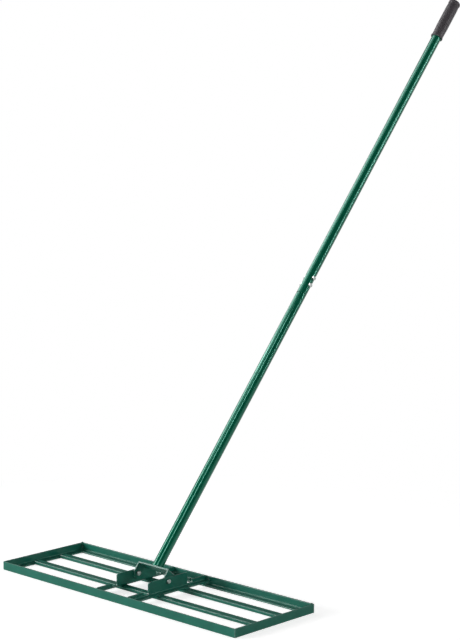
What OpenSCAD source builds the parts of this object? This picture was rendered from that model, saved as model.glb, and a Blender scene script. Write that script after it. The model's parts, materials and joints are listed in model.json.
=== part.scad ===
// Lawn leveling rake: a welded steel slat frame that is dragged flat over the ground,
// with a long two-piece tube handle that tilts on a bolted yoke in the middle of the head.
// Millimetres. +X runs along the head, +Y from its front to its back, +Z up.
// The origin is the middle of the head's front lower edge, on the ground.

/* [Head] */
// Length of the head, end to end
head_w = 762; // [500:1:1100]
// Depth of the head, front face to back face
head_d = 250; // [230:1:320]
// Leg of the equal angle bar that makes the outer frame
angle_leg = 20; // [15:1:30]
// Thickness of the angle bar
angle_t = 3; // [2:0.5:4]
// Radius inside the angle bar's corner
angle_root = 3; // [1:0.5:4]
// Radius of the angle bar's two toes
angle_toe = 1.5; // [0.5:0.5:2]
// Distance from one bar's front face to the next
bar_pitch = 80; // [70:1:95]
// Width of the flat bars inside the frame
inner_bar_w = 20; // [15:1:30]
// Height of the flat bars inside the frame
inner_bar_h = 8; // [7:0.5:10]
// Radius of the flat bars' long edges
inner_bar_round = 2; // [0.5:0.5:3]

/* [Brackets] */
// Distance between the inner faces of the two upright plates
bracket_gap = 100.4; // [80:0.1:140]
// Thickness of the bracket plate
bracket_t = 3; // [2:0.5:4]
// Width of the bracket's foot, from the upright's inner face outwards
foot_w = 16.8; // [14:0.1:30]
// Inside radius of the bend between upright and foot
bracket_bend = 3; // [1:0.5:5]
// Height of the raised ear's top above the ground
ear_top = 40.5; // [36:0.5:55]
// Length of the raised ear along Y
ear_l = 121; // [80:1:140]
// Radius of the ear's top corners
ear_corner = 4; // [1:0.5:8]
// Height of the low end tabs above the ground
tab_top = 21; // [18:0.5:26]
// Length of the notch between the ear and each end tab
notch_l = 16; // [8:1:25]
// Height of the notch's floor above the ground
notch_floor = 14; // [12:0.5:16]
// Radius of the notch's lower corners
notch_corner = 3; // [0.5:0.5:3.5]

/* [Pivot and yoke] */
// Height of the pivot axis above the ground
pivot_z = 31.5; // [28:0.5:40]
// Play between the yoke and each bracket upright
yoke_play = 0.4; // [0.3:0.05:1]
// Width of the strip the yoke is bent from
yoke_strip_w = 25; // [20:1:30]
// Thickness of the yoke strip
yoke_t = 3; // [2:0.5:4]
// Distance from the pivot axis to the yoke's upper face
yoke_reach = 23.5; // [20:0.5:40]
// Inside radius of the yoke's two bends
yoke_bend = 1.5; // [1:0.5:6]
// Nominal thread size of the pivot bolts
pivot_bolt_d = 6; // [5:1:8]
// Radial running clearance of the yoke on the pivot bolts
pivot_clearance = 0.05; // [0.02:0.01:0.09]

/* [Handle] */
// Angle of the handle above the ground as it stands
handle_tilt = 50.1; // [5:0.1:90]
// Outside diameter of both handle tubes
tube_d = 25; // [22:0.5:28]
// Wall thickness of both handle tubes
tube_wall = 0.8; // [0.7:0.1:1.5]
// Distance from the pivot axis to the seam between the two tubes
seam_at = 790; // [500:1:900]
// Length of the lower tube's reduced neck inside the upper tube
neck_l = 82; // [70:1:120]
// Length of the cone where the lower tube is drawn down to its neck
swage_l = 3.5; // [2:0.5:8]
// Distance from the seam to the first joint bolt
joint_first = 28; // [20:1:40]
// Distance between the two joint bolts
joint_spacing = 21; // [16:1:35]
// Nominal thread size of the joint bolts
joint_bolt_d = 6; // [5:1:8]
// Depth of the pressed flats that seat the joint bolts on the tube
joint_seat = 0.25; // [0.1:0.05:0.4]

/* [Grip] */
// Distance from the pivot axis to the grip's lower end
grip_at = 1610; // [1200:1:1700]
// Length of the grip
grip_l = 122; // [100:1:160]
// Largest outside diameter of the grip's body
grip_d = 31; // [30.5:0.5:36]
// Outside diameter of the body beside each rim
grip_neck_d = 29.2; // [28.6:0.1:30.4]
// Length of the lower stretch over which the body swells
grip_swell_l = 30; // [10:1:40]
// Length of the upper stretch over which the body narrows
grip_narrow_l = 12; // [8:1:30]
// Outside diameter of the rims at the grip's ends
grip_rim_d = 32; // [31:0.5:40]
// Length of the lower rim
grip_rim_l = 6; // [4:0.5:10]
// Length of the upper rim, which is rounded over the closed end
grip_cap_l = 10; // [8:0.5:14]
// Thickness of the grip's closed end
grip_end_t = 6; // [4:0.5:10]

/* [Welds] */
// Leg of the frame's weld beads
frame_bead = 4; // [2:0.5:5]
// Leg of the brackets' weld beads
bracket_bead = 3; // [2:0.5:3]
// Leg of the bead between the yoke and the lower tube
handle_bead = 3.5; // [2:0.5:5]

/* [Hidden] */
$fn = 96;

// Finishes
paint_green = [0.06, 0.33, 0.25];
weld_green = [0.05, 0.28, 0.21];
zinc = [0.75, 0.77, 0.75];
rubber_grey = [0.16, 0.15, 0.16];

// Room for cutting tools past a face
cut = 1;
// Gap between a nut's bore and the bolt in it
thread_gap = 0.05;

// Head
half_w = head_w / 2;
mid_y = head_d / 2;
inner_bar_half = half_w - angle_leg;
inner_bar_y = [bar_pitch, 2 * bar_pitch];
bar_bead_l = inner_bar_w - 2 * inner_bar_round;

// Brackets
upright_in = bracket_gap / 2;
upright_out = upright_in + bracket_t;
foot_out = upright_in + foot_w;
foot_bottom = inner_bar_h;
foot_top = foot_bottom + bracket_t;
bend_out = bracket_bend + bracket_t;
bracket_l = head_d - 2 * angle_t;

// Hexagon sizes that go with a thread: width across flats, height of a head and of a nut
function hex_af(d) = lookup(d, [[5, 8], [6, 10], [8, 13]]);
function head_h(d) = 2 / 3 * d;
function nut_h(d) = 5 / 6 * d;
// Height of a hexagon's chamfer and width of the face inside it, as shares of the width across flats
hex_chamfer = 0.12;
hex_face = 0.94;

// Pivot hardware
pivot_hole_play = 0.25;
nut_play = 0.3;
pivot_bolt_tail = 2;
pivot_bolt_l = bracket_t + yoke_play + yoke_t + nut_play + nut_h(pivot_bolt_d) + pivot_bolt_tail;

// Yoke
yoke_out = upright_in - yoke_play;
yoke_in = yoke_out - yoke_t;
yoke_corner = yoke_bend + yoke_t;
yoke_half = yoke_strip_w / 2;

// Handle
tube_r = tube_d / 2;
bore_r = tube_r - tube_wall;
neck_play = 0.1;
neck_r = bore_r - neck_play;
neck_bore_r = neck_r - tube_wall;
upper_tube_end = grip_at + grip_l - grip_end_t;
joint_at = [seam_at + joint_first, seam_at + joint_first + joint_spacing];
joint_bolt_tail = 2;
joint_hole_play = 0.2;
joint_seat_r = 6.2;
joint_face = tube_r - joint_seat;
grip_fit = 0.05;
// Share of a grip rim's length that each of its edges is rounded by
rim_rounding = 0.4;

// Round bead that fills a square corner, along +Z, in the quadrant of +X and +Y
module bead(leg, length) {
    linear_extrude(length)
        intersection() {
            circle(leg);
            square(leg);
        }
}

// Rectangle from a corner point to another, in the plane
module box2d(low, high) {
    translate(low) square(high - low);
}

// Rectangle whose two upper corners are rounded
module arch2d(low, high, r) {
    box2d(low, [high.x, high.y - r]);
    box2d([low.x + r, low.y], [high.x - r, high.y]);
    for (x = [low.x + r, high.x - r])
        translate([x, high.y - r]) circle(r);
}

// Rectangle with four rounded corners
module round2d(low, high, r) {
    box2d([low.x + r, low.y], [high.x - r, high.y]);
    box2d([low.x, low.y + r], [high.x, high.y - r]);
    for (x = [low.x + r, high.x - r], y = [low.y + r, high.y - r])
        translate([x, y]) circle(r);
}

// Rectangle whose two outer corners, on the +X side, are rounded
module rim2d(low, high, r) {
    box2d(low, [high.x - r, high.y]);
    box2d([low.x, low.y + r], [high.x, high.y - r]);
    for (y = [low.y + r, high.y - r])
        translate([high.x - r, y]) circle(r);
}

// One leg of the angle bar along +X, its toe rounded on the inner side
module leg2d() {
    box2d([0, 0], [angle_leg - angle_toe, angle_t]);
    box2d([0, 0], [angle_leg, angle_t - angle_toe]);
    translate([angle_leg - angle_toe, angle_t - angle_toe]) circle(angle_toe);
}

// Section of the angle bar: the outer wall stands at 0, the lower leg points to +X
module angle_section() {
    root = angle_t + angle_root;
    leg2d();
    mirror([1, -1]) leg2d();
    difference() {
        box2d([0, 0], [root, root]);
        translate([root, root]) circle(angle_root);
    }
}

// Angle bar along X, centred, with 45 degree mitres; outer wall on Y = 0, leg towards +Y
module mitred_bar(length) {
    intersection() {
        rotate([90, 0, 90])
            translate([0, 0, -length / 2])
                linear_extrude(length) angle_section();
        linear_extrude(angle_leg)
            polygon([
                [-length / 2, 0],
                [length / 2, 0],
                [length / 2 - angle_leg, angle_leg],
                [-length / 2 + angle_leg, angle_leg]
            ]);
    }
}

// Hexagon with chamfered corners on its upper face, standing on z = 0
module hexagon(af, h) {
    r = af / sqrt(3);
    chamfer_h = hex_chamfer * af;
    intersection() {
        cylinder(h = h, r = r, $fn = 6);
        union() {
            cylinder(h = h - chamfer_h, r = r + cut);
            translate([0, 0, h - chamfer_h])
                cylinder(h = chamfer_h, r1 = r, r2 = hex_face * af / 2);
        }
    }
}

// Nut for a thread, standing on z = 0
module hex_nut(d) {
    difference() {
        hexagon(hex_af(d), nut_h(d));
        translate([0, 0, -cut])
            cylinder(h = nut_h(d) + 2 * cut, r = d / 2 + thread_gap);
    }
}

// Puts a child that is drawn along +Z on a line along X: +1 points to +X, -1 to -X
module along_x(side) {
    rotate([0, 90 * side, 0]) children();
}

// Handle frame: origin on the pivot axis, +Z up along the handle
module in_handle() {
    translate([0, mid_y, pivot_z])
        rotate([handle_tilt - 90, 0, 0]) children();
}

module front_bar() {
    color(paint_green) mitred_bar(head_w);
}

module back_bar() {
    color(paint_green)
        translate([0, head_d, 0]) mirror([0, 1, 0]) mitred_bar(head_w);
}

// Short end of the frame; side is -1 on the left and +1 on the right
module end_bar(side) {
    color(paint_green)
        translate([side * half_w, mid_y, 0])
            rotate([0, 0, 90 * side]) mitred_bar(head_d);
}

module left_end_bar() {
    end_bar(-1);
}

module right_end_bar() {
    end_bar(1);
}

// Flat bar across the frame, its front face at y
module inner_bar(y) {
    color(paint_green)
        rotate([90, 0, 90])
            translate([0, 0, -inner_bar_half])
                linear_extrude(2 * inner_bar_half)
                    round2d([y, 0], [y + inner_bar_w, inner_bar_h], inner_bar_round);
}

module front_inner_bar() {
    inner_bar(inner_bar_y[0]);
}

module rear_inner_bar() {
    inner_bar(inner_bar_y[1]);
}

// One frame corner's weld: up the inside of the two walls and along the mitre of the two legs.
// At the back corners it ends in a lump that stands a little above the walls.
// Drawn in the corner of -X and -Y, with the walls' meeting line on X = Y = 0
module corner_weld(lump) {
    ridge_r = 2.5;
    ridge_sunk = 1.5;
    bead_top = angle_leg - angle_toe;
    translate([0, 0, angle_t]) bead(frame_bead, bead_top - angle_t);
    if (lump)
        intersection() {
            translate([0, 0, bead_top]) sphere(frame_bead);
            translate([0, 0, bead_top]) cube(frame_bead);
        }
    intersection() {
        translate([0, 0, angle_t - ridge_sunk])
            rotate([90, 0, 135])
                cylinder(h = (angle_leg - angle_t) * sqrt(2), r = ridge_r);
        translate([0, 0, angle_t - angle_toe]) cube(angle_leg);
    }
}

module corner_welds() {
    color(weld_green)
        difference() {
            for (mx = [0, 1], my = [0, 1])
                translate([0, mid_y, 0])
                    mirror([mx, 0, 0]) mirror([0, my, 0])
                        translate([-half_w + angle_t, -mid_y + angle_t, 0]) corner_weld(my == 1);
            front_bar();
            back_bar();
            left_end_bar();
            right_end_bar();
        }
}

// Beads between the inner bars' ends and the legs of the end bars, down into the rounded toes
module bar_welds() {
    color(weld_green)
        difference() {
            for (mx = [0, 1], y = inner_bar_y)
                mirror([mx, 0, 0])
                    translate([inner_bar_half, y + inner_bar_w - inner_bar_round, angle_t - angle_toe])
                        rotate([90, 0, 0]) bead(frame_bead + angle_toe, bar_bead_l);
            left_end_bar();
            right_end_bar();
        }
}

// Section of the bracket across the head: upright, bend and outward foot
module bracket_section() {
    bend = [upright_in + bend_out, foot_bottom + bend_out];
    box2d([upright_in, bend.y], [upright_out, ear_top]);
    box2d([bend.x, foot_bottom], [foot_out, foot_top]);
    intersection() {
        translate(bend)
            difference() {
                circle(bend_out);
                circle(bracket_bend);
            }
        box2d([upright_in, foot_bottom], bend);
    }
}

// Side outline of the bracket: low tabs at both ends, a raised ear between two notches
module bracket_outline() {
    ear = ear_l / 2;
    difference() {
        union() {
            box2d([-bracket_l / 2, foot_bottom], [bracket_l / 2, tab_top]);
            arch2d([-ear, foot_bottom], [ear, ear_top], ear_corner);
        }
        for (side = [-1, 1])
            translate([side * (ear + notch_l / 2), notch_floor])
                mirror([0, 1])
                    arch2d([-notch_l / 2, notch_floor - tab_top - cut], [notch_l / 2, 0], notch_corner);
    }
}

// Bent plate on the +X side of the yoke, drilled for the pivot bolt
module bracket() {
    color(paint_green)
        translate([0, mid_y, 0])
            difference() {
                intersection() {
                    rotate([90, 0, 0])
                        translate([0, 0, -bracket_l / 2])
                            linear_extrude(bracket_l) bracket_section();
                    rotate([90, 0, 90]) linear_extrude(foot_out + cut) bracket_outline();
                }
                translate([upright_in - cut, 0, pivot_z])
                    along_x(1)
                        cylinder(h = bracket_t + 2 * cut, r = pivot_bolt_d / 2 + pivot_hole_play);
            }
}

module right_bracket() {
    bracket();
}

module left_bracket() {
    mirror([1, 0, 0]) bracket();
}

// Beads of one bracket: its two ends on the frame's walls, and its foot on the inner bars
module bracket_weld() {
    for (my = [0, 1])
        translate([0, mid_y, 0]) mirror([0, my, 0]) translate([0, -bracket_l / 2, 0]) {
            translate([upright_out, 0, foot_top + bracket_bend])
                bead(bracket_bead, angle_leg - angle_toe - foot_top - bracket_bend);
            translate([upright_in + bend_out, 0, foot_top])
                rotate([90, 0, 90]) bead(bracket_bead, foot_out - upright_in - bend_out);
        }
    for (y = inner_bar_y)
        translate([foot_out, y + inner_bar_w - inner_bar_round, foot_bottom])
            rotate([90, 0, 0]) bead(bracket_bead, bar_bead_l);
}

module bracket_welds() {
    color(weld_green)
        for (mx = [0, 1])
            mirror([mx, 0, 0]) bracket_weld();
}

// Hex bolts through the uprights and the yoke, heads outside
module pivot_bolts() {
    color(zinc)
        for (side = [-1, 1])
            translate([side * upright_out, mid_y, pivot_z]) {
                along_x(side) hexagon(hex_af(pivot_bolt_d), head_h(pivot_bolt_d));
                along_x(-side) cylinder(h = pivot_bolt_l, r = pivot_bolt_d / 2);
            }
}

// Nuts on the pivot bolts, inside the yoke and just clear of it
module pivot_nuts() {
    color(zinc)
        for (side = [-1, 1])
            translate([side * (yoke_in - nut_play), mid_y, pivot_z])
                along_x(-side) hex_nut(pivot_bolt_d);
}

// U of bent strip: two ears on the pivot bolts and a web square to the handle
module yoke() {
    color(paint_green)
        in_handle()
            difference() {
                intersection() {
                    rotate([90, 0, 0])
                        translate([0, 0, -yoke_half])
                            linear_extrude(yoke_strip_w)
                                difference() {
                                    arch2d([-yoke_out, -yoke_half], [yoke_out, yoke_reach], yoke_corner);
                                    arch2d(
                                        [-yoke_in, -yoke_half - cut],
                                        [yoke_in, yoke_reach - yoke_t],
                                        yoke_bend
                                    );
                                }
                    rotate([90, 0, 90])
                        translate([0, 0, -yoke_out - cut])
                            linear_extrude(2 * (yoke_out + cut)) {
                                circle(yoke_half);
                                box2d([-yoke_half, 0], [yoke_half, yoke_reach + cut]);
                            }
                }
                translate([-yoke_out - cut, 0, 0])
                    along_x(1)
                        cylinder(h = 2 * (yoke_out + cut), r = pivot_bolt_d / 2 + pivot_clearance);
            }
}

// Bead around the lower tube's foot, as far as the yoke's strip reaches
module handle_weld() {
    color(weld_green)
        in_handle()
            intersection() {
                rotate_extrude()
                    intersection() {
                        translate([tube_r, yoke_reach]) circle(handle_bead);
                        translate([tube_r, yoke_reach]) square(handle_bead);
                    }
                translate([-tube_r - handle_bead - cut, -yoke_half, 0])
                    cube([2 * (tube_r + handle_bead + cut), yoke_strip_w, yoke_reach + handle_bead + cut]);
            }
}

// Cuts along X through both walls of a tube at each joint bolt
module joint_holes() {
    for (z = joint_at)
        translate([-tube_r - cut, 0, z])
            along_x(1)
                cylinder(h = 2 * (tube_r + cut), r = joint_bolt_d / 2 + joint_hole_play);
}

// Tube welded to the yoke, drawn down at its top to a neck that goes into the upper tube
module lower_tube() {
    color(paint_green)
        in_handle()
            difference() {
                rotate_extrude()
                    polygon([
                        [bore_r, yoke_reach],
                        [tube_r, yoke_reach],
                        [tube_r, seam_at - swage_l],
                        [neck_r, seam_at],
                        [neck_r, seam_at + neck_l],
                        [neck_bore_r, seam_at + neck_l],
                        [neck_bore_r, seam_at],
                        [bore_r, seam_at - swage_l]
                    ]);
                joint_holes();
            }
}

// Tube that slides over the neck and carries the grip, with pressed flats under the bolts
module upper_tube() {
    color(paint_green)
        in_handle()
            difference() {
                translate([0, 0, seam_at])
                    difference() {
                        cylinder(h = upper_tube_end - seam_at, r = tube_r);
                        translate([0, 0, -cut])
                            cylinder(h = upper_tube_end - seam_at + 2 * cut, r = bore_r);
                    }
                joint_holes();
                for (z = joint_at, side = [-1, 1])
                    translate([side * joint_face, 0, z])
                        along_x(side) cylinder(h = cut, r = joint_seat_r);
            }
}

// Hex bolts across the handle's joint, heads on the right
module joint_bolts() {
    shank_l = 2 * joint_face + nut_h(joint_bolt_d) + joint_bolt_tail;
    color(zinc)
        in_handle()
            for (z = joint_at)
                translate([joint_face, 0, z]) {
                    along_x(1) hexagon(hex_af(joint_bolt_d), head_h(joint_bolt_d));
                    along_x(-1) cylinder(h = shank_l, r = joint_bolt_d / 2);
                }
}

// Nuts of the joint bolts, on the left
module joint_nuts() {
    color(zinc)
        in_handle()
            for (z = joint_at)
                translate([-joint_face, 0, z])
                    along_x(-1) hex_nut(joint_bolt_d);
}

// Moulded grip: a slightly swelling body between two rims, closed and rounded at the top
module grip() {
    body_r = grip_d / 2;
    neck_r = grip_neck_d / 2;
    rim_r = grip_rim_d / 2;
    rim_round = rim_rounding * grip_rim_l;
    cap_round = rim_rounding * grip_cap_l;
    rim_top = grip_at + grip_rim_l;
    top = grip_at + grip_l;
    cap_at = top - grip_cap_l;
    hole_r = tube_r + grip_fit;
    color(rubber_grey)
        in_handle()
            rotate_extrude()
                difference() {
                    union() {
                        polygon([
                            [0, grip_at + rim_round],
                            [neck_r, grip_at + rim_round],
                            [neck_r, rim_top],
                            [body_r, rim_top + grip_swell_l],
                            [body_r, cap_at - grip_narrow_l],
                            [neck_r, cap_at],
                            [neck_r, top - cap_round],
                            [0, top - cap_round]
                        ]);
                        rim2d([0, grip_at], [rim_r, rim_top], rim_round);
                        rim2d([0, cap_at], [rim_r, top], cap_round);
                    }
                    box2d([-cut, grip_at - cut], [hole_r, upper_tube_end]);
                }
}

front_bar();
back_bar();
left_end_bar();
right_end_bar();
front_inner_bar();
rear_inner_bar();
corner_welds();
bar_welds();
left_bracket();
right_bracket();
bracket_welds();
pivot_bolts();
pivot_nuts();
yoke();
handle_weld();
lower_tube();
upper_tube();
joint_bolts();
joint_nuts();
grip();
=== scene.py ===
"""Lawn leveling rake: finishes, fine pieces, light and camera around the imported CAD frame."""
import json
import math
from functools import partial

import bmesh
import bpy
from mathutils import Matrix, Vector


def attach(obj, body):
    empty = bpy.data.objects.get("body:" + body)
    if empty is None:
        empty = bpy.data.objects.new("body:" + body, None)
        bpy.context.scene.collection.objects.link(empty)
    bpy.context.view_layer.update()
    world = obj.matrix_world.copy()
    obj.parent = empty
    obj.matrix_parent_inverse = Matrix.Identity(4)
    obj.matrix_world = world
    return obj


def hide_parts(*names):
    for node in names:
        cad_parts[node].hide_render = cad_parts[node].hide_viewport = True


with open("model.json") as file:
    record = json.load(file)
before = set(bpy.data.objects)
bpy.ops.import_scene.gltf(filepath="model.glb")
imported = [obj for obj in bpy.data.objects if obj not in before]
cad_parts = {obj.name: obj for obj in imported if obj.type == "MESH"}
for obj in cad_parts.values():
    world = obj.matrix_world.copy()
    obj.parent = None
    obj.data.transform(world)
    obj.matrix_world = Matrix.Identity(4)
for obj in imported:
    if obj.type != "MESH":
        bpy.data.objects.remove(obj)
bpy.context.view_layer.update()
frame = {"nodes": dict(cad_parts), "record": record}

# Camera, as fitted to the photograph, in metres and degrees
CAMERA_TARGET = Vector((0.0732, 0.3053, 0.6108))
CAMERA_AZIMUTH = 43.91
CAMERA_ELEVATION = 7.38
CAMERA_DISTANCE = 3.971
FOCAL_PIXELS = 1742
IMAGE_HEIGHT = 640
SENSOR_MM = 36

# The handle's pivot and direction, the points that the lamps face, and how far from them the lamps stand
PIVOT = Vector(frame["record"]["behaviour"]["joints"][0]["pos_m"])
HANDLE_AXIS = Vector(next(m["axis"] for m in frame["record"]["mounts"] if m["name"] == "shaft_clip"))
HEAD_MIDDLE = Vector((PIVOT.x, PIVOT.y, 0.02))
LOWER_HANDLE = PIVOT + 0.16 * HANDLE_AXIS
HANDLE_MIDDLE = PIVOT + 0.83 * HANDLE_AXIS
UPPER_HANDLE = PIVOT + 1.25 * HANDLE_AXIS
HIGH_HANDLE = PIVOT + 1.65 * HANDLE_AXIS
LAMP_FAR = 4.0
LAMP_NEAR = 2.0

# Fine pieces are drawn in millimetres, in the head's frame or up along the handle from the pivot
MM = 0.001
IN_HEAD = Matrix.Scale(MM, 4)
HANDLE_LEAN = math.atan2(HANDLE_AXIS.y, HANDLE_AXIS.z)
IN_HANDLE = Matrix.Translation(PIVOT) @ Matrix.Rotation(-HANDLE_LEAN, 4, "X") @ Matrix.Scale(MM, 4)

# Frame of the head, in millimetres: half its length, its middle, the angle bar's thickness, leg and
# rounded toe, where the inner bars' welds begin and how long they are
HALF_W = 381
MID_Y = 125
ANGLE_T = 3
ANGLE_LEG = 20
ANGLE_TOE = 1.5
INNER_WELD_Y = (82, 162)
INNER_WELD_L = 16

# Brackets, in millimetres: outer face, end of the bend, foot, and where the welds on the walls begin
BRACKET_OUT = 53.2
BRACKET_BEND_OUT = 56.2
FOOT_OUT = 67
FOOT_BOTTOM = 8
FOOT_TOP = 11
BRACKET_WELD_FROM = 14

# Yoke and tube, in millimetres: from the pivot to the web's upper face, half the strip's width, and the
# tube's radius
YOKE_REACH = 23.5
YOKE_HALF = 12.5
TUBE_R = 12.5

# Weld beads, in millimetres: legs, half the width and the height of a ridge, how far beads are sunk in the
# steel, and the pitch of their ripples
FRAME_BEAD = 4
BRACKET_BEAD = 3
HANDLE_BEAD = 3.5
MITRE_RIDGE = (2.2, 1.1)
BEAD_SUNK = 0.4
RIPPLE_PITCH = 2.2

# Weld beads: share of the size left at the ends, depth of ripples as a share of the size, steps along a
# ripple and across the bead, and the arc in degrees of a bead in a corner and of one on a face
BEAD_END = 0.08
RIPPLE_DEPTH = 0.16
RIPPLE_STEPS = 6
BEAD_ARC = 8
CORNER_SPAN = 90
FACE_SPAN = 180

# Bead round the tube's foot: how far it runs to each side of the line along the yoke's strip, in degrees,
# and the least part across the strip that a direction is taken to have, so that a division stays finite
HANDLE_BEAD_TURN = 80
LEAST_ACROSS = 0.1

# M6 bolts, in millimetres
BOLT_R = 3
BOLT_AF = 10
BOLT_HEAD_H = 4
BOLT_CHAMFER_H = 1.2
BOLT_DISH_DEPTH = 0.25
SHANK_IN_HEAD = 0.5
THREAD_PITCH = 1
THREAD_DEPTH = 0.45
THREAD_L = 9
BOLT_END_CHAMFER = 0.8
PIVOT_SHANK_L = 13.7
JOINT_AT = (818, 839)
JOINT_FACE = 12.25
JOINT_SHANK_L = 31.5

# Bolts: the face as a share of the width across flats, the dish and its floor as shares of the face, points
# around, and steps on the chamfer and on one pitch of the thread
BOLT_FACE = 0.94
BOLT_DISH = 0.8
BOLT_DISH_FLOOR = 0.74
BOLT_SIDES = 72
CHAMFER_STEPS = 6
THREAD_STEPS = 8

# Grip, in millimetres, with its place along the handle
GRIP_AT = 1610
GRIP_L = 122
GRIP_R = 15.5
GRIP_NECK_R = 14.6
GRIP_SWELL_L = 30
GRIP_NARROW_L = 12
GRIP_RIM_R = 16
GRIP_RIM_L = 6
GRIP_CAP_L = 10
GRIP_HOLE_R = 12.55
GRIP_END_T = 6
KNURL_DEPTH = 0.25
KNURL_CLEAR = 2

# Grip: rounding as a share of a rim's length, groove as a share of the knurl's pitch, starts of the knurl,
# points on each pitch, and steps round the lower rim's edge, into the neck and round the upper rim's edge
GRIP_ROUNDING = 0.4
KNURL_GROOVE = 0.45
KNURL_STARTS = 22
KNURL_SIDES = 8
RIM_STEPS = 6
NECK_STEPS = 5
CAP_STEPS = 8

# Edges of the fine pieces are sharp where faces meet at more than this angle, in degrees
SHARP_FROM = 40

# Plain colours, and the colour of reflections in the tube's coat, which shines green
WHITE = (1, 1, 1)
BLACK = (0, 0, 0)
TUBE_TINT = (0.35, 1, 0.8)

# Noise of the finishes: cycles per metre and detail
COAT_CLOUDS = (35, 4)
COAT_SPOTS = (90, 3)
COAT_PEEL = (700, 2)
ZINC_CLOUDS = (260, 4)
ZINC_SPOTS = (500, 3)
RUBBER_CLOUDS = (200, 4)
RUBBER_SPOTS = (400, 3)
RUBBER_GRAIN = (1500, 2)

# Middle range of a noise, and the height of bumps in metres
NOISE_LOW = 0.3
NOISE_HIGH = 0.7
BUMP_HEIGHT = 0.0004

# Sockets of the mix node when it mixes colours
MIX_FACTOR = 0
MIX_FIRST = 6
MIX_SECOND = 7
MIX_RESULT = 2

# Edges under the coat: their rounding in metres, the number of samples, how far behind the face steel is
# looked for in metres, the share of directions in which it reaches so far on an edge and on a plain face,
# and the roughness of the extra coat on edges
EDGE_R = 0.0006
EDGE_SAMPLES = 8
EDGE_DEPTH = 0.002
EDGE_FULL = 0.7
EDGE_NONE = 0.95
EDGE_GLOSS = 0.2

# Floor: its size in metres, its colour and glow near the tool, where it keeps the shadow, and the distances
# in metres between which it turns plain white
FLOOR_SIZE = 60
FLOOR_PALE = 0.75
FLOOR_GLOW = 0.7
FLOOR_FADE_FROM = 0.5
FLOOR_FADE_TO = 1.2

# Light from all round, how bright the white surround is in reflections, how dark the room above it is, and
# the heights of a direction between which it turns dark
FILL = 0.05
MIRRORED = 0.7
ROOM_DARK = 0.03
ROOM_WHITE_UP_TO = 0.08
ROOM_DARK_FROM = 0.3


def viewing_axes(azimuth, elevation):
    """Right, up and backward directions of a level camera that looks from this angle."""
    turn = math.radians(azimuth)
    rise = math.radians(elevation)
    back = Vector((math.sin(turn) * math.cos(rise), -math.cos(turn) * math.cos(rise), math.sin(rise)))
    right = Vector((math.cos(turn), math.sin(turn), 0))
    return right, back.cross(right), back


def matrix_at(place, right, up, back):
    """World matrix of a camera or lamp at a place, with these local axes."""
    turn = Matrix((right, up, back)).transposed().to_4x4()
    return Matrix.Translation(place) @ turn


def add_camera():
    """Camera at the photograph's angle and distance."""
    data = bpy.data.cameras.new("camera")
    data.sensor_width = SENSOR_MM
    data.lens = FOCAL_PIXELS * SENSOR_MM / IMAGE_HEIGHT
    camera = bpy.data.objects.new("camera", data)
    bpy.context.scene.collection.objects.link(camera)
    right, up, back = viewing_axes(CAMERA_AZIMUTH, CAMERA_ELEVATION)
    camera.matrix_world = matrix_at(CAMERA_TARGET + back * CAMERA_DISTANCE, right, up, back)
    bpy.context.scene.camera = camera


class Nodes:
    """Short way to add and link shader nodes in one material or world."""

    def __init__(self, owner):
        owner.use_nodes = True
        self.owner = owner
        self.tree = owner.node_tree
        self.tree.nodes.clear()

    def add(self, kind, settings=None, **inputs):
        """A new node; settings are its properties, inputs its sockets, each a value or an output."""
        node = self.tree.nodes.new(kind)
        for key, value in (settings or {}).items():
            setattr(node, key, value)
        for key, value in inputs.items():
            self.put(node, key.replace("_", " "), value)
        return node

    def put(self, node, socket, value):
        """Links an output to a socket, or sets the socket's own value."""
        target = node.inputs[socket]
        if isinstance(value, bpy.types.NodeSocket):
            self.tree.links.new(value, target)
        else:
            target.default_value = value

    def math(self, operation, first, second=0):
        """Output of a math node with one or two operands."""
        node = self.add("ShaderNodeMath", {"operation": operation})
        self.put(node, 0, first)
        self.put(node, 1, second)
        return node.outputs[0]

    def map(self, value, from_low, from_high, to_low, to_high, smooth=False):
        """Maps a range of values on another, clamped."""
        node = self.add("ShaderNodeMapRange", {"interpolation_type": "SMOOTHSTEP" if smooth else "LINEAR"})
        self.put(node, "Value", value)
        self.put(node, "From Min", from_low)
        self.put(node, "From Max", from_high)
        self.put(node, "To Min", to_low)
        self.put(node, "To Max", to_high)
        return node.outputs[0]

    def noise(self, scale, detail):
        """Noise in object space, scale in cycles per metre."""
        place = self.add("ShaderNodeTexCoord").outputs["Object"]
        return self.add("ShaderNodeTexNoise", Vector=place, Scale=scale, Detail=detail).outputs["Fac"]

    def spread(self, value, low, high):
        """Maps the middle range of a noise on another range."""
        return self.map(value, NOISE_LOW, NOISE_HIGH, low, high)

    def two_tone(self, factor, first, second):
        """Colour between two, by a factor."""
        node = self.add("ShaderNodeMix", {"data_type": "RGBA"})
        self.put(node, MIX_FACTOR, factor)
        self.put(node, MIX_FIRST, (*first, 1))
        self.put(node, MIX_SECOND, (*second, 1))
        return node.outputs[MIX_RESULT]

    def seen(self):
        """1 for what the camera sees straight, a little less in a reflection or through glass, else 0."""
        path = self.add("ShaderNodeLightPath").outputs
        mirrored = self.math("MAXIMUM", path["Is Glossy Ray"], path["Is Transmission Ray"])
        return self.math("MAXIMUM", path["Is Camera Ray"], self.math("MULTIPLY", mirrored, MIRRORED))

    def close(self, shader, output="ShaderNodeOutputMaterial"):
        """Links the finished shader to the output and returns the material or world."""
        self.put(self.add(output), "Surface", shader.outputs[0])
        return self.owner


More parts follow.
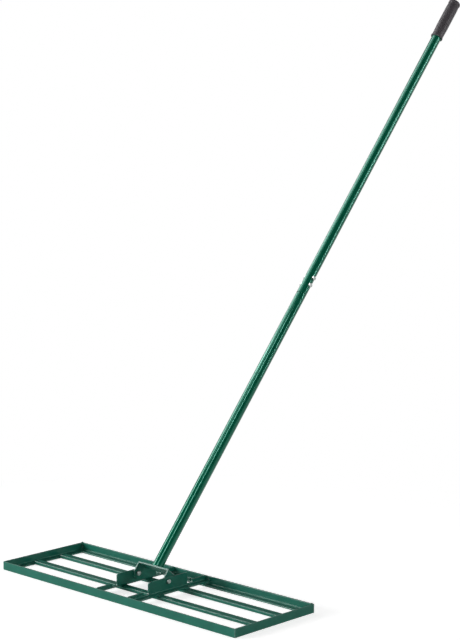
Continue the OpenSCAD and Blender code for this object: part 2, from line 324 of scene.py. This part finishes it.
def powder_coat(name, dark, light, gloss, peel, specular, tint=WHITE, shiny_edges=False):
    """Green powder coat: slight cloudiness, uneven gloss, the fine orange peel of a baked coat, and steel
    edges that are a little rounded. With shiny_edges the coat shines more on them."""
    nodes = Nodes(bpy.data.materials.new(name))
    colour = nodes.two_tone(nodes.spread(nodes.noise(*COAT_CLOUDS), 0, 1), dark, light)
    roughness = nodes.spread(nodes.noise(*COAT_SPOTS), *gloss)
    rounded = nodes.add("ShaderNodeBevel", {"samples": EDGE_SAMPLES}, Radius=EDGE_R).outputs[0]
    height = nodes.noise(*COAT_PEEL)
    bump = nodes.add("ShaderNodeBump", Height=height, Strength=peel, Distance=BUMP_HEIGHT, Normal=rounded)
    shader = nodes.add("ShaderNodeBsdfPrincipled", Base_Color=colour, Roughness=roughness)
    nodes.put(shader, "Normal", bump.outputs[0])
    nodes.put(shader, "Specular IOR Level", specular)
    nodes.put(shader, "Specular Tint", (*tint, 1))
    if shiny_edges:
        inside = {"samples": EDGE_SAMPLES, "inside": True, "only_local": True}
        steel = nodes.add("ShaderNodeAmbientOcclusion", inside, Distance=EDGE_DEPTH).outputs["AO"]
        nodes.put(shader, "Coat Weight", nodes.map(steel, EDGE_FULL, EDGE_NONE, 1, 0))
        nodes.put(shader, "Coat Roughness", EDGE_GLOSS)
    return nodes.close(shader)


def zinc_plate(name, dark, light, gloss):
    """Bright zinc plating with a little cloudiness."""
    nodes = Nodes(bpy.data.materials.new(name))
    colour = nodes.two_tone(nodes.spread(nodes.noise(*ZINC_CLOUDS), 0, 1), dark, light)
    roughness = nodes.spread(nodes.noise(*ZINC_SPOTS), *gloss)
    shader = nodes.add("ShaderNodeBsdfPrincipled", Base_Color=colour, Roughness=roughness, Metallic=1)
    return nodes.close(shader)


def soft_rubber(name, dark, light, gloss, grain, specular):
    """Dark moulded rubber with a fine grain."""
    nodes = Nodes(bpy.data.materials.new(name))
    colour = nodes.two_tone(nodes.spread(nodes.noise(*RUBBER_CLOUDS), 0, 1), dark, light)
    roughness = nodes.spread(nodes.noise(*RUBBER_SPOTS), *gloss)
    height = nodes.noise(*RUBBER_GRAIN)
    bump = nodes.add("ShaderNodeBump", Height=height, Strength=grain, Distance=BUMP_HEIGHT)
    shader = nodes.add("ShaderNodeBsdfPrincipled", Base_Color=colour, Roughness=roughness)
    nodes.put(shader, "Normal", bump.outputs[0])
    nodes.put(shader, "Specular IOR Level", specular)
    return nodes.close(shader)


SLOT_MATERIALS = {
    "green_coat": powder_coat(
        "green_coat", dark=(0.012, 0.15, 0.105), light=(0.016, 0.18, 0.126),
        gloss=(0.28, 0.36), peel=0.08, specular=0.22, shiny_edges=True,
    ),
    "green_tube": powder_coat(
        "green_tube", dark=(0.002, 0.14, 0.072), light=(0.004, 0.168, 0.09),
        gloss=(0.07, 0.1), peel=0.01, specular=0.8, tint=TUBE_TINT,
    ),
    "green_weld": powder_coat(
        "green_weld", dark=(0.011, 0.13, 0.091), light=(0.015, 0.16, 0.112),
        gloss=(0.28, 0.38), peel=0.15, specular=0.22,
    ),
    "zinc": zinc_plate(
        "zinc", dark=(0.42, 0.45, 0.43), light=(0.6, 0.63, 0.61), gloss=(0.22, 0.4),
    ),
    "grip_rubber": soft_rubber(
        "grip_rubber", dark=(0.095, 0.087, 0.095), light=(0.137, 0.125, 0.137),
        gloss=(0.22, 0.32), grain=0.1, specular=0.2,
    ),
}


def dress_nodes():
    """Gives every CAD node the material of its slot."""
    for part in frame["record"]["subparts"]:
        node = frame["nodes"][part["node"]]
        node.data.materials.clear()
        node.data.materials.append(SLOT_MATERIALS[part["material_slot"]])


def add_rings(mesh, rings):
    """Adds a closed skin through rings of points, with a flat cap on each end."""
    rows = [[mesh.verts.new(point) for point in ring] for ring in rings]
    count = len(rows[0])
    for low, high in zip(rows, rows[1:]):
        for i in range(count):
            j = (i + 1) % count
            mesh.faces.new((low[i], low[j], high[j], high[i]))
    mesh.faces.new(rows[0][::-1])
    mesh.faces.new(rows[-1])


def add_piece(mesh, name, node, place):
    """Makes a mesh drawn in millimetres a piece that stands for a CAD node and rides on its body."""
    mesh.transform(place)
    bmesh.ops.recalc_face_normals(mesh, faces=mesh.faces)
    data = bpy.data.meshes.new(name)
    mesh.to_mesh(data)
    mesh.free()
    data.shade_smooth()
    data.set_sharp_from_angle(angle=math.radians(SHARP_FROM))
    piece = bpy.data.objects.new(name, data)
    bpy.context.scene.collection.objects.link(piece)
    slot = next(p["material_slot"] for p in frame["record"]["subparts"] if p["node"] == node)
    data.materials.append(SLOT_MATERIALS[slot])
    bodies = frame["record"]["behaviour"]["bodies"]
    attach(piece, next(body for body, nodes in bodies.items() if node in nodes))
    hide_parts(node)


def turned(profile, sides, shape):
    """Rings of a turned form: profile lists (radius, height), shape gives the radius at an angle."""

    def point(radius, height, angle):
        """Point of a ring at an angle."""
        reach = shape(radius, height, angle)
        return Vector((reach * math.cos(angle), reach * math.sin(angle), height))

    angles = [2 * math.pi * i / sides for i in range(sides)]
    return [[point(radius, height, angle) for angle in angles] for radius, height in profile]


def arc(centre, radius, start, end, steps):
    """Points of an arc in the plane of a profile, from one angle in degrees to another."""
    angles = [math.radians(start + (end - start) * i / steps) for i in range(steps + 1)]
    return [(centre[0] + radius * math.cos(a), centre[1] + radius * math.sin(a)) for a in angles]


def bead_rings(length, place, legs, span):
    """Rings of a rippled weld bead. place gives point, side and up direction and size at a distance along
    it; CORNER_SPAN fills a corner between side and up, FACE_SPAN makes a ridge on a face."""
    rings = []
    steps = math.ceil(length / RIPPLE_PITCH * RIPPLE_STEPS)
    for i in range(steps + 1):
        along = length * i / steps
        point, side, up, size = place(along)
        from_end = min(1, min(along, length - along) / legs[1])
        size *= max(math.sqrt(1 - (1 - from_end) ** 2), BEAD_END)
        section = []
        for k in range(BEAD_ARC + 1):
            angle = math.radians(span) * k / BEAD_ARC
            bow = RIPPLE_PITCH / 2 * math.sin(math.pi * k / BEAD_ARC)
            wave = abs(math.sin(math.pi * (along + bow) / RIPPLE_PITCH))
            reach = size * (1 - RIPPLE_DEPTH * (1 - wave))
            section.append((legs[0] * reach * math.cos(angle), legs[1] * reach * math.sin(angle)))
        first, last = section[0], section[-1]
        if span == CORNER_SPAN:
            section += [(-BEAD_SUNK, last[1]), (-BEAD_SUNK, -BEAD_SUNK), (first[0], -BEAD_SUNK)]
        else:
            section += [(last[0], -BEAD_SUNK), (first[0], -BEAD_SUNK)]
        rings.append([point + side * x + up * y for x, y in section])
    return rings


def add_bead(mesh, start, along, side, up, length, legs, span=CORNER_SPAN):
    """Adds a straight weld bead to a mesh."""
    start, along, side, up = (Vector(v) for v in (start, along, side, up))
    add_rings(mesh, bead_rings(length, lambda t: (start + along * t, side, up, 1), legs, span))


def frame_corners():
    """Signs of the four corners of the head: to the right and to the back."""
    return [(x, y) for x in (-1, 1) for y in (-1, 1)]


def add_corner_welds():
    """Beads up the inside of the frame's corners, which stand a little above the walls at the back, and
    along the mitres of its legs."""
    mesh = bmesh.new()
    legs = (FRAME_BEAD, FRAME_BEAD)
    mitre_l = (ANGLE_LEG - ANGLE_T) * math.sqrt(2)
    for x, y in frame_corners():
        corner = (x * (HALF_W - ANGLE_T), MID_Y + y * (MID_Y - ANGLE_T), ANGLE_T)
        rise = ANGLE_LEG - ANGLE_T - ANGLE_TOE
        if y > 0:
            rise += FRAME_BEAD
        add_bead(mesh, corner, (0, 0, 1), (-x, 0, 0), (0, -y, 0), rise, legs)
        inwards = Vector((-x, -y, 0)).normalized()
        across = Vector((-x, y, 0)).normalized()
        add_bead(mesh, corner, inwards, across, (0, 0, 1), mitre_l, MITRE_RIDGE, FACE_SPAN)
    add_piece(mesh, "corner_weld_beads", "corner_welds", IN_HEAD)


def add_bar_welds():
    """Beads between the inner bars' ends and the legs of the end bars, down into the rounded toes."""
    mesh = bmesh.new()
    leg = FRAME_BEAD + ANGLE_TOE
    for x in (-1, 1):
        for y in INNER_WELD_Y:
            start = (x * (HALF_W - ANGLE_LEG), y, ANGLE_T - ANGLE_TOE)
            add_bead(mesh, start, (0, 1, 0), (x, 0, 0), (0, 0, 1), INNER_WELD_L, (leg, leg))
    add_piece(mesh, "bar_weld_beads", "bar_welds", IN_HEAD)


def add_bracket_welds():
    """Beads at the brackets' ends on the frame's walls and along their feet on the inner bars."""
    mesh = bmesh.new()
    legs = (BRACKET_BEAD, BRACKET_BEAD)
    for x, y in frame_corners():
        wall = MID_Y + y * (MID_Y - ANGLE_T)
        rise = ANGLE_LEG - ANGLE_TOE - BRACKET_WELD_FROM
        start = (x * BRACKET_OUT, wall, BRACKET_WELD_FROM)
        add_bead(mesh, start, (0, 0, 1), (x, 0, 0), (0, -y, 0), rise, legs)
        start = (x * BRACKET_BEND_OUT, wall, FOOT_TOP)
        add_bead(mesh, start, (x, 0, 0), (0, -y, 0), (0, 0, 1), FOOT_OUT - BRACKET_BEND_OUT, legs)
    for x in (-1, 1):
        for y in INNER_WELD_Y:
            start = (x * FOOT_OUT, y, FOOT_BOTTOM)
            add_bead(mesh, start, (0, 1, 0), (x, 0, 0), (0, 0, 1), INNER_WELD_L, legs)
    add_piece(mesh, "bracket_weld_beads", "bracket_welds", IN_HEAD)


def add_handle_weld():
    """Bead around the tube's foot, on both sides, which runs out where the tube meets the strip's edges."""
    half_turn = math.radians(HANDLE_BEAD_TURN)
    length = 2 * half_turn * TUBE_R
    legs = (HANDLE_BEAD, HANDLE_BEAD)
    up = Vector((0, 0, 1))

    def place(middle, along):
        """Point, side and up direction and size of the bead at a distance along it."""
        angle = middle - half_turn + along / TUBE_R
        out = Vector((math.cos(angle), math.sin(angle), 0))
        room = YOKE_HALF / max(abs(out.y), LEAST_ACROSS) - TUBE_R
        return out * TUBE_R + up * YOKE_REACH, out, up, min(1, room / HANDLE_BEAD)

    mesh = bmesh.new()
    for middle in (0, math.pi):
        add_rings(mesh, bead_rings(length, partial(place, middle), legs, CORNER_SPAN))
    add_piece(mesh, "handle_weld_bead", "handle_weld", IN_HANDLE)


def hex_radius(angle):
    """Distance from a hexagon's middle to its side, at an angle from a corner."""
    sector = math.pi / 3
    return BOLT_AF / 2 / math.cos(angle % sector - sector / 2)


def thread_radius(radius, height, angle):
    """Radius of a screw thread at a height and an angle."""
    turn = (height / THREAD_PITCH - angle / (2 * math.pi)) % 1
    return radius - THREAD_DEPTH * abs(2 * turn - 1)


def bolt_head():
    """Rings of a hex bolt's head, standing on z = 0, with chamfered corners and a shallow dish."""
    corner_r = BOLT_AF / math.sqrt(3)
    face_r = BOLT_FACE * BOLT_AF / 2
    chamfer_at = BOLT_HEAD_H - BOLT_CHAMFER_H
    profile = [(corner_r, 0), (corner_r, chamfer_at)]
    for k in range(1, CHAMFER_STEPS + 1):
        radius = corner_r + (face_r - corner_r) * k / CHAMFER_STEPS
        profile.append((radius, chamfer_at + BOLT_CHAMFER_H * k / CHAMFER_STEPS))
    profile.append((BOLT_DISH * face_r, BOLT_HEAD_H))
    profile.append((BOLT_DISH_FLOOR * face_r, BOLT_HEAD_H - BOLT_DISH_DEPTH))
    return turned(profile, BOLT_SIDES, lambda radius, height, angle: min(radius, hex_radius(angle)))


def bolt_shank(length):
    """Rings of a bolt's shank, from inside the head down, threaded and chamfered at its end."""
    steps = round(THREAD_STEPS * (THREAD_L - BOLT_END_CHAMFER) / THREAD_PITCH)
    thread_to = BOLT_END_CHAMFER - length
    profile = [(BOLT_R - THREAD_DEPTH, -length)]
    profile += [(BOLT_R, thread_to + k * THREAD_PITCH / THREAD_STEPS) for k in range(steps + 1)]
    thread_from = profile[-1][1]
    profile += [(BOLT_R, thread_from + THREAD_PITCH), (BOLT_R, SHANK_IN_HEAD)]

    def shape(radius, height, angle):
        """Radius with the thread, but plain at the chamfer and above the thread."""
        if radius == BOLT_R and height <= thread_from:
            return thread_radius(radius, height, angle)
        return radius

    return turned(profile, BOLT_SIDES, shape)


def add_bolts(name, node, places, shank_l, frame_of):
    """Adds the bolts of one node; places are their matrices, with +Z from the shank to the head."""
    mesh = bmesh.new()
    for place in places:
        for rings in (bolt_head(), bolt_shank(shank_l)):
            add_rings(mesh, [[place @ point for point in ring] for ring in rings])
    add_piece(mesh, name, node, frame_of)


def facing_x(side, point):
    """Matrix of a bolt at a point with its head towards +X or -X."""
    return Matrix.Translation(point) @ Matrix.Rotation(side * math.pi / 2, 4, "Y")


def add_all_bolts():
    """Pivot bolts with their heads outside the brackets, and two bolts across the tubes' joint."""
    pivot = PIVOT / MM
    pivot_places = [facing_x(x, (x * BRACKET_OUT, pivot.y, pivot.z)) for x in (-1, 1)]
    add_bolts("pivot_bolt_threads", "pivot_bolts", pivot_places, PIVOT_SHANK_L, IN_HEAD)
    joint_places = [facing_x(1, (JOINT_FACE, 0, z)) for z in JOINT_AT]
    add_bolts("joint_bolt_threads", "joint_bolts", joint_places, JOINT_SHANK_L, IN_HANDLE)


def grip_body_radius(z):
    """Radius of the grip's body, which swells from its lower rim and narrows to its upper one."""
    from_rim = (z - GRIP_AT - GRIP_RIM_L) / GRIP_SWELL_L
    from_cap = (GRIP_AT + GRIP_L - GRIP_CAP_L - z) / GRIP_NARROW_L
    return GRIP_NECK_R + (GRIP_R - GRIP_NECK_R) * max(0, min(1, from_rim, from_cap))


def groove(phase):
    """Depth of the knurl's groove, from 0 to 1, at a phase counted in pitches."""
    return max(0, 1 - abs(phase % 1 - 0.5) * 2 / KNURL_GROOVE)


def add_grip():
    """Moulded grip with rounded rims and a diamond knurl on its body."""
    top = GRIP_AT + GRIP_L
    rim_top = GRIP_AT + GRIP_RIM_L
    cap_at = top - GRIP_CAP_L
    rim_round = GRIP_ROUNDING * GRIP_RIM_L
    cap_round = GRIP_ROUNDING * GRIP_CAP_L
    rim_in = GRIP_RIM_R - rim_round
    cap_in = GRIP_RIM_R - cap_round
    rim_angle = math.degrees(math.acos((GRIP_NECK_R - rim_in) / rim_round))
    cap_angle = math.degrees(math.acos((GRIP_NECK_R - cap_in) / cap_round))
    pitch = 2 * math.pi * GRIP_R / KNURL_STARTS
    rows = round((cap_at - rim_top) / pitch * KNURL_SIDES)
    heights = [rim_top + (cap_at - rim_top) * k / rows for k in range(rows + 1)]
    profile = [(GRIP_HOLE_R, top - GRIP_END_T), (GRIP_HOLE_R, GRIP_AT)]
    profile += arc((rim_in, GRIP_AT + rim_round), rim_round, -90, 0, RIM_STEPS)
    profile += arc((rim_in, rim_top - rim_round), rim_round, 0, rim_angle, NECK_STEPS)
    profile += [(grip_body_radius(z), z) for z in heights]
    profile += arc((cap_in, cap_at + cap_round), cap_round, -cap_angle, 0, NECK_STEPS)
    profile += arc((cap_in, top - cap_round), cap_round, 0, 90, CAP_STEPS)

    def shape(radius, height, angle):
        """Radius with the knurl cut into the body, which fades out towards the rims."""
        if radius <= GRIP_HOLE_R or not rim_top < height < cap_at:
            return radius
        turn = KNURL_STARTS * angle / (2 * math.pi)
        depth = max(groove(turn + height / pitch), groove(turn - height / pitch))
        fade = min(1, (height - rim_top) / KNURL_CLEAR, (cap_at - height) / KNURL_CLEAR)
        return radius - KNURL_DEPTH * depth * fade

    mesh = bmesh.new()
    add_rings(mesh, turned(profile, KNURL_STARTS * KNURL_SIDES, shape))
    add_piece(mesh, "knurled_grip", "grip", IN_HANDLE)


def add_floor():
    """Pale floor that keeps the shadow and is white to the camera and in reflections."""
    nodes = Nodes(bpy.data.materials.new("floor"))
    reach = nodes.add("ShaderNodeVectorMath", {"operation": "LENGTH"})
    nodes.put(reach, 0, nodes.add("ShaderNodeTexCoord").outputs["Object"])
    away = nodes.map(reach.outputs["Value"], FLOOR_FADE_FROM, FLOOR_FADE_TO, 0, 1, smooth=True)
    strength = nodes.math("MULTIPLY", nodes.seen(), nodes.map(away, 0, 1, FLOOR_GLOW, 1))
    glow = nodes.add("ShaderNodeEmission", Color=(*WHITE, 1), Strength=strength)
    pale = (FLOOR_PALE, FLOOR_PALE, FLOOR_PALE)
    paint = nodes.add("ShaderNodeBsdfDiffuse", Color=nodes.two_tone(away, pale, BLACK))
    both = nodes.add("ShaderNodeAddShader")
    nodes.put(both, 0, paint.outputs[0])
    nodes.put(both, 1, glow.outputs[0])
    bpy.ops.mesh.primitive_plane_add(size=FLOOR_SIZE, location=(HEAD_MIDDLE.x, HEAD_MIDDLE.y, 0))
    floor = bpy.context.object
    floor.name = "floor"
    floor.data.materials.append(nodes.close(both))


def add_surround():
    """World that is white to the camera, white under a dark room in reflections, and else soft fill."""
    nodes = Nodes(bpy.data.worlds.new("studio"))
    bpy.context.scene.world = nodes.owner
    direction = nodes.add("ShaderNodeTexCoord").outputs["Generated"]
    height = nodes.add("ShaderNodeSeparateXYZ", Vector=direction).outputs["Z"]
    room = nodes.map(height, ROOM_WHITE_UP_TO, ROOM_DARK_FROM, 1, ROOM_DARK, smooth=True)
    camera = nodes.add("ShaderNodeLightPath").outputs["Is Camera Ray"]
    white = nodes.math("MAXIMUM", camera, nodes.math("MULTIPLY", nodes.seen(), room))
    fill = nodes.add("ShaderNodeBackground", Color=(*WHITE, 1), Strength=FILL)
    backdrop = nodes.add("ShaderNodeBackground", Color=(*WHITE, 1), Strength=white)
    mix = nodes.add("ShaderNodeMixShader", Fac=nodes.math("CEIL", nodes.seen()))
    nodes.put(mix, 1, fill.outputs[0])
    nodes.put(mix, 2, backdrop.outputs[0])
    nodes.close(mix, "ShaderNodeOutputWorld")


def add_lamp(
    name, target, azimuth, elevation, distance, width, height, power, along=None, mirrored_only=False
):
    """Rectangular softbox that faces a point of the tool from this angle, upright or along a line. One that
    is mirrored only shows in reflections and lights nothing else."""
    data = bpy.data.lights.new(name, "AREA")
    data.shape = "RECTANGLE"
    data.size = width
    data.size_y = height
    data.energy = power
    lamp = bpy.data.objects.new(name, data)
    bpy.context.scene.collection.objects.link(lamp)
    lamp.visible_camera = False
    lamp.visible_diffuse = not mirrored_only
    right, up, back = viewing_axes(azimuth, elevation)
    if along is not None:
        right = along.cross(back).normalized()
        up = back.cross(right)
    lamp.matrix_world = matrix_at(target + back * distance, right, up, back)


def add_lamps():
    """Softboxes round the tool, and panels above it that the tube and the head's edges mirror."""
    add_lamp(
        "key", HEAD_MIDDLE, azimuth=-36, elevation=16, distance=LAMP_FAR,
        width=1.6, height=1.2, power=104,
    )
    add_lamp(
        "left", HANDLE_MIDDLE, azimuth=-94, elevation=31, distance=LAMP_FAR,
        width=1.8, height=2.0, power=42,
    )
    add_lamp(
        "front", HANDLE_MIDDLE, azimuth=45, elevation=12, distance=LAMP_FAR,
        width=1.6, height=1.6, power=27,
    )
    add_lamp(
        "right", HANDLE_MIDDLE, azimuth=120, elevation=22, distance=LAMP_FAR,
        width=1.4, height=1.4, power=18,
    )
    add_lamp(
        "right_strip", UPPER_HANDLE, azimuth=119, elevation=4, distance=LAMP_NEAR,
        width=0.08, height=1.4, power=8, along=HANDLE_AXIS,
    )
    add_lamp(
        "upper_left", HIGH_HANDLE, azimuth=-66, elevation=46, distance=LAMP_FAR,
        width=1.4, height=2.3, power=50, along=HANDLE_AXIS, mirrored_only=True,
    )
    add_lamp(
        "upper_glow", HIGH_HANDLE, azimuth=-24, elevation=56, distance=LAMP_FAR,
        width=1.8, height=2.8, power=27, along=HANDLE_AXIS, mirrored_only=True,
    )
    add_lamp(
        "head_ridges", HEAD_MIDDLE, azimuth=-71, elevation=38, distance=LAMP_FAR,
        width=1.5, height=1.7, power=52, along=HANDLE_AXIS, mirrored_only=True,
    )
    add_lamp(
        "front_strip", LOWER_HANDLE, azimuth=44, elevation=55, distance=LAMP_NEAR,
        width=0.3, height=1.1, power=9, along=HANDLE_AXIS, mirrored_only=True,
    )


dress_nodes()
add_corner_welds()
add_bar_welds()
add_bracket_welds()
add_handle_weld()
add_all_bolts()
add_grip()
add_floor()
add_surround()
add_lamps()
add_camera()
bpy.context.scene.view_settings.view_transform = "Standard"
